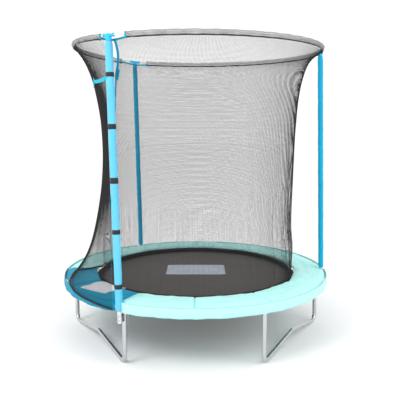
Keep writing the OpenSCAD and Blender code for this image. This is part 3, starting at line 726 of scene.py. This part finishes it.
# The front net's loose edge inside the door: height, angle and radius.
EDGE = np.array([(0.368, 215.5, 0.667), (0.95, 216.0, 0.664), (1.06, 219.0, 0.668),
                 (1.20, 222.0, 0.676), (1.45, 225.5, 0.690), (1.58, 230.8, 0.735),
                 (1.66, 235.4, 0.793), (1.711, 236.6, 0.800), (1.76, 237.7, 0.803),
                 (1.82, 238.1, 0.810), (1.8865, 237.1, 0.824)])
EDGE_ANGLE, EDGE_R = curve(EDGE[:, [0, 1]], 0.03), curve(EDGE[:, [0, 2]], 0.03)


def front_at(u, z):
    start = EDGE_ANGLE(z)
    angle = start + (360 - start) * u
    near_edge = np.exp(-((angle - start) / 11) ** 2)
    r = wall_r(angle, z) + folds(angle, z) * (1 - near_edge)
    return polar(r + (EDGE_R(z) - r) * near_edge, angle, rise(angle, z))


def plain_at(first, last):
    def at(u, z):
        angle = first + (last - first) * u + 0 * z
        return polar(wall_r(angle, z) + folds(angle, z), angle, rise(angle, z))
    return at


DOOR_FROM, TANGENT = 178.0, 197.0
FLARE = curve([(0.30, 1.4), (0.412, 1.0), (0.45, 0.78), (0.537, 0.50), (0.638, 0.31), (0.738, 0.19),
               (0.84, 0.08), (0.93, 0.02), (1.05, 0.0), (2.0, 0.0)], 0.04)
HEM = np.array([(178.0, 0.670, 0.3960), (182.0, 0.702, 0.4060), (185.8, 0.735, 0.4075),
                (187.3, 0.800, 0.4080), (190.0, 0.845, 0.4085), (200.0, 0.880, 0.4090),
                (206.0, 0.912, 0.4110), (209.0, 0.9225, 0.4080), (211.5, 0.9245, 0.3960),
                (214.0, 0.9245, 0.3800), (219.0, 0.9240, 0.3690), (226.0, 0.9240, 0.3610),
                (232.0, 0.9235, 0.3520), (236.5, 0.9235, 0.3490)])


def door_end(z):
    at = along_pole(2, z)
    return np.degrees(np.arctan2(at[..., 1], at[..., 0])) % 360 - 1.9


def door_at(u, z_share):
    """The door net. z_share is 0 at the hem and 1 at the ring."""
    hem_angle = DOOR_FROM + (HEM[-1][0] - DOOR_FROM) * u
    hem_r = np.interp(hem_angle, HEM[:, 0], HEM[:, 1])
    hem_z = np.interp(hem_angle, HEM[:, 0], HEM[:, 2])
    z = hem_z + (NET_TOP - hem_z) * z_share
    last = door_end(z)
    angle = DOOR_FROM + (last - DOOR_FROM) * u
    pole = np.linalg.norm(along_pole(2, z)[..., :2], axis=-1)
    sec = lambda a: 1 / np.cos(np.radians(a)) - 1
    swing = np.where(angle > TANGENT, sec(np.maximum(angle - TANGENT, 0)) / sec(last - TANGENT), 0)
    mid = wall_r(angle, z) * (1 - swing) + (pole + 0.004) * swing
    flare = np.clip(FLARE(z), 0, 1)
    r = mid + (np.maximum(hem_r, mid) - mid) * flare
    low = np.clip((z - 0.42) / 0.2, 0, 1)
    ripple = 0.0004 * np.sin(np.radians(angle) * 33 + 1.4 * z) * low * ease((NET_TOP - z) / 0.5)
    ripple = ripple * ease((last - angle) / 8)
    return polar(r + ripple, angle, rise(angle, z))


def strands(lines, side):
    """Three-sided yarns, open at their ends, along lines of shape (count, points, 3)."""
    t = unit(np.gradient(lines, axis=1))
    out = unit(lines * np.array([1, 1, 0]))
    n = unit(out - t * (out * t).sum(-1, keepdims=True))
    b = np.cross(t, n)
    reach = side / math.sqrt(3)
    rings = [lines + reach * (math.sin(q) * n + math.cos(q) * b) for q in np.radians([90, 210, 330])]
    v = np.stack(rings, 2)
    count, points = lines.shape[:2]
    i = (np.arange(count)[:, None] * points + np.arange(points - 1)[None]).ravel() * 3
    faces = [np.stack([i + k, i + (k + 1) % 3, i + 3 + (k + 1) % 3, i + 3 + k], -1) for k in range(3)]
    return v.reshape(-1, 3), np.concatenate(faces)


def woven(surface, low, high, width, height, pitch=0.0072, side=0.00096, fine_u=0.019, fine_z=0.036):
    """A net panel: upright and level yarns over surface(u, z), u from 0 to 1."""
    ups = max(2, round(width / pitch))
    levels = max(2, round(height / pitch))
    spread = lambda n: (np.arange(n) + 0.5) / n
    grid = lambda a, b, size: np.linspace(a, b, max(3, round(size) + 1))
    profile = np.linspace(low, high, 400)
    line = surface(np.full(400, 0.5), profile)
    run = np.concatenate([[0], np.cumsum(np.linalg.norm(np.diff(line, axis=0), axis=1))])
    z_at = lambda s: np.interp(np.asarray(s) * run[-1], run, profile)
    u, z = np.meshgrid(spread(ups), z_at(grid(0, 1, height / fine_z)), indexing="ij")
    upright = strands(surface(u, z), side)
    z, u = np.meshgrid(z_at(spread(levels)), grid(0, 1, width / fine_u), indexing="ij")
    level = strands(surface(u, z), side)
    v = np.concatenate([upright[0], level[0]])
    return v, np.concatenate([upright[1], level[1] + len(upright[0])])


def net(name, part, nodes, with_pieces=()):
    obj = piece(name, part, NET, None, "net_mesh", nodes, smooth=False)
    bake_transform(obj)
    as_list(with_pieces)
    return obj


NET_H = 1.60
RING_YARN = 0.0013


def sleeve_angles(k, step=1.5):
    a0, a1 = POLE_HEAD[k][1] + SLEEVE_GAP[k][1], next_head(k) - SLEEVE_GAP[(k + 1) % 3][0]
    return np.linspace(a0, a1, round((a1 - a0) / step) + 1)


def ring_sleeve(k):
    """Net sleeve over one rod: loops round it and a few long yarns."""
    loop = np.array([(0.0008, -0.0178), (0.0046, -0.0120), (0.0076, -0.0050), (0.0084, 0.0030),
                     (0.0056, 0.0092), (0.0, 0.0112), (-0.0056, 0.0092), (-0.0084, 0.0030),
                     (-0.0076, -0.0050), (-0.0046, -0.0120), (-0.0008, -0.0178)])
    fine = np.linspace(0, 1, 13)
    share = np.linspace(0, 1, len(loop))
    cut = np.stack([np.interp(fine, share, loop[:, i]) for i in (0, 1)], -1)
    def at(angle, section):
        wob = 1 + 0.10 * np.sin(np.radians(angle) * 47) + 0.06 * np.sin(np.radians(angle) * 101 + 1)
        return on_ring(section[..., 0] * wob, angle, section[..., 1] * wob)
    coarse = sleeve_angles(k)
    count = round((coarse[-1] - coarse[0]) * 0.0148 / 0.0056)
    loops = np.linspace(coarse[0], coarse[-1], count)
    across = np.broadcast_to(cut, (count,) + cut.shape)
    a = strands(at(np.repeat(loops[:, None], len(cut), 1), across), RING_YARN)
    long_cut = cut[1:-1]
    grid = np.broadcast_to(coarse, (len(long_cut), len(coarse)))
    b = strands(at(grid, np.broadcast_to(long_cut[:, None], (len(long_cut), len(coarse), 2))), RING_YARN)
    return np.concatenate([a[0], b[0]]), [tuple(q) for q in np.concatenate([a[1], b[1] + len(a[0])])]


sleeve = piece("ring_sleeve_net", joined([ring_sleeve(k) for k in range(3)]), RING_NET, "frame", "ring_mesh",
               ["ring_sleeve"], smooth=False)
tape = []
for k in range(3):
    a = sleeve_angles(k)
    tape.append(sweep(on_ring(-0.0005, a, -0.0178 + 0.0006 * np.sin(a * 0.9)),
                      band(0.0034, 0.0085), up=(0, 0, 1)))
binding = piece("net_top_tape", joined(tape), STRAP, "frame", "black_strap", ["net_binding"])

level_pieces = [sleeve, binding]
for name, node, surface, width, others in (
        ("net_front_mesh", "net_front", front_at, 1.62, level_pieces),
        ("net_back_mesh", "net_back", plain_at(0, 120), 1.43, ()),
        ("net_left_mesh", "net_left", plain_at(120, DOOR_FROM), 0.69, ())):
    net(name, woven(surface, NET_LOW, NET_TOP, width, NET_H), [node],
        others)
door_panel = piece("net_door_mesh", woven(door_at, 0.0, 1.0, 0.78, 1.58), NET, "frame", "net_mesh",
                   ["net_door"], smooth=False)

hem_u = np.linspace(0, 1, 60)
hem_path = door_at(hem_u, np.zeros(60))
piece("door_net_hem", sweep(hem_path + np.array([0, 0, 0.001]), circle(0.011, 8)), STRAP, "frame",
      "black_strap", ["flap_hem"])


def edge_line(z):
    """Points along the front net's free edge, and the way they face."""
    line = front_at(np.zeros_like(z), z)
    return line, unit(line * np.array([1, 1, 0]))


edge, facing = edge_line(np.linspace(NET_LOW, 1.70, 50))
edge_tape = piece("front_net_edge", sweep(edge, band(0.007, 0.0022), up=facing), TEAL, None, "teal_webbing",
                  ["door_binding"])
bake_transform(edge_tape)

low_a = np.arange(192, 552.1, 2.0)
piece("net_bottom_tape", sweep(polar(wall_r(low_a, NET_LOW) + 0.001, low_a, NET_LOW + 0.0095),
      band(0.003, 0.028), up=(0, 0, 1)), STRAP, "bed", "black_strap")


# ---- poles' sleeves ----

def sleeve_skin(k, d, low, high, pinches, seed):
    """Foam sleeve over a pole: a soft tube with wrinkles, drawn in where a strap goes round it."""
    rng = np.random.default_rng(seed)
    z = np.linspace(low, high, round((high - low) / 0.006))
    a = np.arange(32) * 2 * np.pi / 32
    zz, aa = np.meshgrid(z, a, indexing="ij")
    r = np.full_like(zz, d / 2)
    for _ in range(46):
        z0, a0 = rng.uniform(low, high), rng.uniform(0, 2 * np.pi)
        tilt, size = rng.uniform(-0.02, 0.02), rng.uniform(0.004, 0.010)
        da = np.mod(aa - a0 + np.pi, 2 * np.pi) - np.pi
        dent = np.exp(-((zz - z0 - tilt * da) / size) ** 2) * np.exp(-(da / 1.1) ** 2)
        r -= rng.uniform(0.0004, 0.0011) * dent
    r += 0.0004 * np.sin(zz * 31 + aa) + 0.0003 * np.sin(zz * 83 - 2 * aa)
    for at in pinches:
        r -= 0.0016 * np.exp(-((zz - at) / 0.017) ** 2)
        r += 0.0006 * np.sin(aa * 7 + at * 40) * np.exp(-((np.abs(zz - at) - 0.026) / 0.012) ** 2)
    seam = np.mod(aa - 2.2 + np.pi, 2 * np.pi) - np.pi
    r += 0.0009 * np.exp(-(seam / 0.09) ** 2)
    for end in (low, high):
        r -= 0.0035 * np.exp(-(np.abs(zz - end) / 0.006))
    mid = along_pole(k, z)
    axis = unit(mid[-1] - mid[0])
    x = unit(np.cross(axis, np.array([0, 1.0, 0])))
    y = np.cross(axis, x)
    v = mid[:, None] + r[..., None] * (np.cos(aa)[..., None] * x + np.sin(aa)[..., None] * y)
    bore = 0.0128                  # clear of the steel tube
    inner = mid[:, None] + bore * (np.cos(aa)[..., None] * x + np.sin(aa)[..., None] * y)
    rows, m = zz.shape
    v = np.concatenate([v.reshape(-1, 3), inner[[0, -1]].reshape(-1, 3)])
    faces = [(i * m + j, i * m + (j + 1) % m, (i + 1) * m + (j + 1) % m, (i + 1) * m + j)
             for i in range(rows - 1) for j in range(m)]
    low_in, high_in, last = rows * m, rows * m + m, (rows - 1) * m
    faces += [(low_in + j, low_in + (j + 1) % m, (j + 1) % m, j) for j in range(m)]
    faces += [(last + j, last + (j + 1) % m, high_in + (j + 1) % m, high_in + j) for j in range(m)]
    faces += [(low_in + (j + 1) % m, low_in + j, high_in + j, high_in + (j + 1) % m) for j in range(m)]
    return v, faces


FOAM_TOP = 1.8708
STRAP_Z = (0.481, 0.799, 1.093, 1.398, 1.688)      # closing straps on the door pole
# The door sleeve's lighter blue is painted light from the front left.
for k, name, d, low, look, slot_name, pins in (
        (0, "right", 0.036, 0.3985, FOAM, "blue_foam", ()),
        (1, "back", 0.036, 0.3985, FOAM, "blue_foam", ()),
        (2, "door", 0.044, 0.338, DOOR_FOAM_PAINTED_LIGHT, "light_blue_sleeve", STRAP_Z)):
    skin = piece(f"foam_{name}_sleeve", sleeve_skin(k, d, low, FOAM_TOP, pins, 11 + k), look, "frame",
                 slot_name, [f"foam_{name}"])


# ---- straps ----

def pole_axes(k):
    axis = unit(along_pole(k, 1.5) - along_pole(k, 0.5))
    out = unit(np.array([*polar(1, POLE_HEAD[k][1])[:2], 0]) - axis * (polar(1, POLE_HEAD[k][1]) @ axis))
    return axis, out, np.cross(axis, out)


axis, out, side_way = pole_axes(2)
bands = []
for i, z in enumerate(STRAP_Z):
    a = np.radians(np.linspace(-160, 236, 56))
    tail = ease((a - np.radians(196)) / 0.3) * 0.0016
    facing = np.cos(a)[:, None] * out + np.sin(a)[:, None] * side_way
    mid = along_pole(2, z) + (0.0226 + tail)[:, None] * facing
    height = (0.026, 0.026, 0.033, 0.029, 0.024)[i]
    bands.append(sweep(mid, band(height, 0.0016), up=facing))
piece("pole_straps_webbing", joined(bands), STRAP, "frame", "black_strap", ["pole_straps"])

far, near = door_at(np.array([0.44]), np.array([0.858]))[0], along_pole(2, 1.668)
start = far + unit(far * np.array([1, 1, 0])) * 0.004
facing = unit(np.cross(unit(near - start), np.array([0, 0, 1.0])))
facing = facing if facing @ start > 0 else -facing
t = np.linspace(0, 1, 24)[:, None]
line = start + (near + facing * 0.024 - start) * t + facing * (0.003 * np.sin(t * np.pi))
line[:, 2] -= 0.006 * np.sin(t[:, 0] * np.pi)
tee = start + np.array([0.0, 0, 1.0]) * np.linspace(-0.038, 0.034, 8)[:, None] + facing * 0.0024
parts = [sweep(line, band(0.023, 0.0018), up=facing), sweep(tee, band(0.018, 0.0022), up=facing)]
piece("door_strap_webbing", joined(parts), BRIGHT_TEAL, "frame", "teal_webbing", ["door_strap"])

line, facing = edge_line(np.linspace(1.885, 1.665, 26))
hanging = [sweep(line + facing * 0.003, band(0.018, 0.0018), up=facing)]
line, facing = edge_line(np.linspace(1.722, 1.668, 8))
hanging.append(sweep(line + facing * 0.007 + np.array([0.006, 0, 0]), band(0.030, 0.005), up=facing))
line, facing = edge_line(np.linspace(1.672, 1.575, 14))
taper = np.linspace(1, 0.4, 14)[:, None, None] * np.array([1, 0]) + np.array([0, 1])
hanging.append(sweep(line + facing * 0.004, band(0.014, 0.0024)[None] * taper, up=facing))
piece("hanging_strap", joined(hanging), TEAL, "frame", "teal_webbing", ["hang_strap"])

scallops = []
for k in range(3):
    before, after = SLEEVE_GAP[k]
    t = np.linspace(-1, 1, 25)
    a, dip = np.where(t < 0, before, after) * t, 1 - t ** 2
    path = on_ring(-0.004 - 0.0215 * dip ** 0.6, POLE_HEAD[k][1] + a, -0.013 - 0.010 * dip)
    scallops.append(sweep(path, band(0.012, 0.0018), up=unit(path * np.array([1, 1, 0]))))
    for end in (-before, after):
        c = POLE_HEAD[k][1] + end
        tab = on_ring(0.004, c, -0.004) + np.array([0, 0, 1.0]) * np.linspace(-0.022, 0.016, 6)[:, None]
        scallops.append(sweep(tab, band(0.013, 0.004), up=unit(polar(1, c))))
piece("ring_straps_webbing", joined(scallops), TEAL, "frame", "teal_webbing", ["ring_straps"])

ties = []
for k in range(12):
    a = k * 30 + 10
    q = np.radians(np.arange(180, 361, 15))
    loop = np.stack([0.857 + 0.0192 * np.cos(q), 0 * q, 0.360 + 0.0192 * np.sin(q)], -1)
    path = np.concatenate([[(0.8375, 0, 0.3765), (0.8376, 0, 0.368)], loop,
                           [(0.8764, 0, 0.368), (0.8765, 0, 0.3765)]])
    ties.append(turned(sweep(path, circle(0.005, 8), up=(0, 1, 0)), a))
tail = np.array([(-0.380, -0.800, 0.352), (-0.379, -0.806, 0.342), (-0.376, -0.812, 0.333),
                 (-0.372, -0.816, 0.326), (-0.369, -0.818, 0.320)])
ties.append(sweep(tail, circle(0.006, 8)))
piece("pad_tie_elastics", joined(ties), ELASTIC, "frame", "black_strap", ["pad_ties"])


# ---- patches ----

def pad_height(v):
    """Height of the two blue pads' upper face over points."""
    tops = []
    for name in ("pad_07_cushion", "pad_08_cushion"):
        tops.append(np.array([q.co for q in bpy.data.objects[name].data.vertices]))
    cloud = np.concatenate(tops)
    cloud = cloud[cloud[:, 2] > 0.388]
    d = ((v[:, None, :2] - cloud[None, :, :2]) ** 2).sum(-1)
    near = np.argpartition(d, 6, axis=1)[:, :6]
    return np.take_along_axis(np.broadcast_to(cloud[:, 2], d.shape), near, 1).max(1)


nx, ny = 15, 19
gx, gy = np.meshgrid(np.linspace(-0.088, 0.088, nx), np.linspace(-0.112, 0.112, ny), indexing="ij")
c, s = math.cos(math.radians(10)), math.sin(math.radians(10))
flat_x, flat_y = 0.774 + gx * c - gy * s, gx * s + gy * c
base = turned((np.stack([flat_x.ravel(), flat_y.ravel(), 0 * flat_x.ravel()], -1), []), 222)[0]
top = pad_height(base) + 0.0022
upper = np.stack([base[:, 0], base[:, 1], top], -1)
lower = upper - np.array([0, 0, 0.0028])
quad = [(i * ny + j, (i + 1) * ny + j, (i + 1) * ny + j + 1, i * ny + j + 1)
        for i in range(nx - 1) for j in range(ny - 1)]
n = nx * ny
rim = [i * ny for i in range(nx)] + [(nx - 1) * ny + j for j in range(1, ny)]
rim += [i * ny + ny - 1 for i in range(nx - 2, -1, -1)] + list(range(ny - 2, 0, -1))
faces = quad + [tuple(n + i for i in reversed(q)) for q in quad]
faces += [(rim[(i + 1) % len(rim)], rim[i], n + rim[i], n + rim[(i + 1) % len(rim)]) for i in range(len(rim))]
piece("pad_patch_cloth", (np.concatenate([upper, lower]), faces), PATCH, "frame", "plain_patch",
      ["door_patch"])
edge_run = upper[rim + rim[:1]]
centre = upper.mean(0)
inset = edge_run + unit(centre - edge_run) * np.array([0.006, 0.006, 0])
thread = stitches(inset + np.array([0, 0, 0.0004]), (0, 0, 1), 0.005, 0.004, 0.001, 0.0004)
piece("pad_patch_stitching", thread, THREAD, "frame", "plain_patch")


# ---- light, floor and camera ----

def area_light(name, place, aim, size, power):
    data = bpy.data.lights.new(name, "AREA")
    data.shape, data.size, data.energy = "DISK", size, power
    obj = bpy.data.objects.new(name, data)
    obj.location = place
    obj.rotation_euler = (Vector(aim) - Vector(place)).to_track_quat("-Z", "Y").to_euler()
    bpy.context.scene.collection.objects.link(obj)


world = bpy.data.worlds.new("studio")
bpy.context.scene.world = world
world.use_nodes = True
world.node_tree.nodes["Background"].inputs["Color"].default_value = (1, 1, 1, 1)
world.node_tree.nodes["Background"].inputs["Strength"].default_value = 1.04
area_light("key", (-3.2, -3.4, 4.4), (0, 0, 0.8), 2.6, 130)
area_light("fill", (3.6, -2.0, 2.8), (0, 0, 0.8), 3.0, 45)

floor_mat = finish_of("pale_floor", (0.965, 0.965, 0.965), 0.006, 0.6, (0.9, 0.98), 0, spec=0.0)
corners = np.array([(-40, -40, 0), (40, -40, 0), (40, 40, 0), (-40, 40, 0)], float)
floor = piece("floor", (corners, [(0, 1, 2, 3)]), floor_mat, None, smooth=False)

camera_data = bpy.data.cameras.new("camera")
camera_data.lens, camera_data.sensor_width = 50.95, 36
camera = bpy.data.objects.new("camera", camera_data)
camera.location = (0.03, -3.957, 1.412)
camera.rotation_euler = (math.pi / 2 - 0.133, 0, 0)
bpy.context.scene.collection.objects.link(camera)
bpy.context.scene.camera = camera
bpy.context.scene.view_settings.view_transform = "Standard"
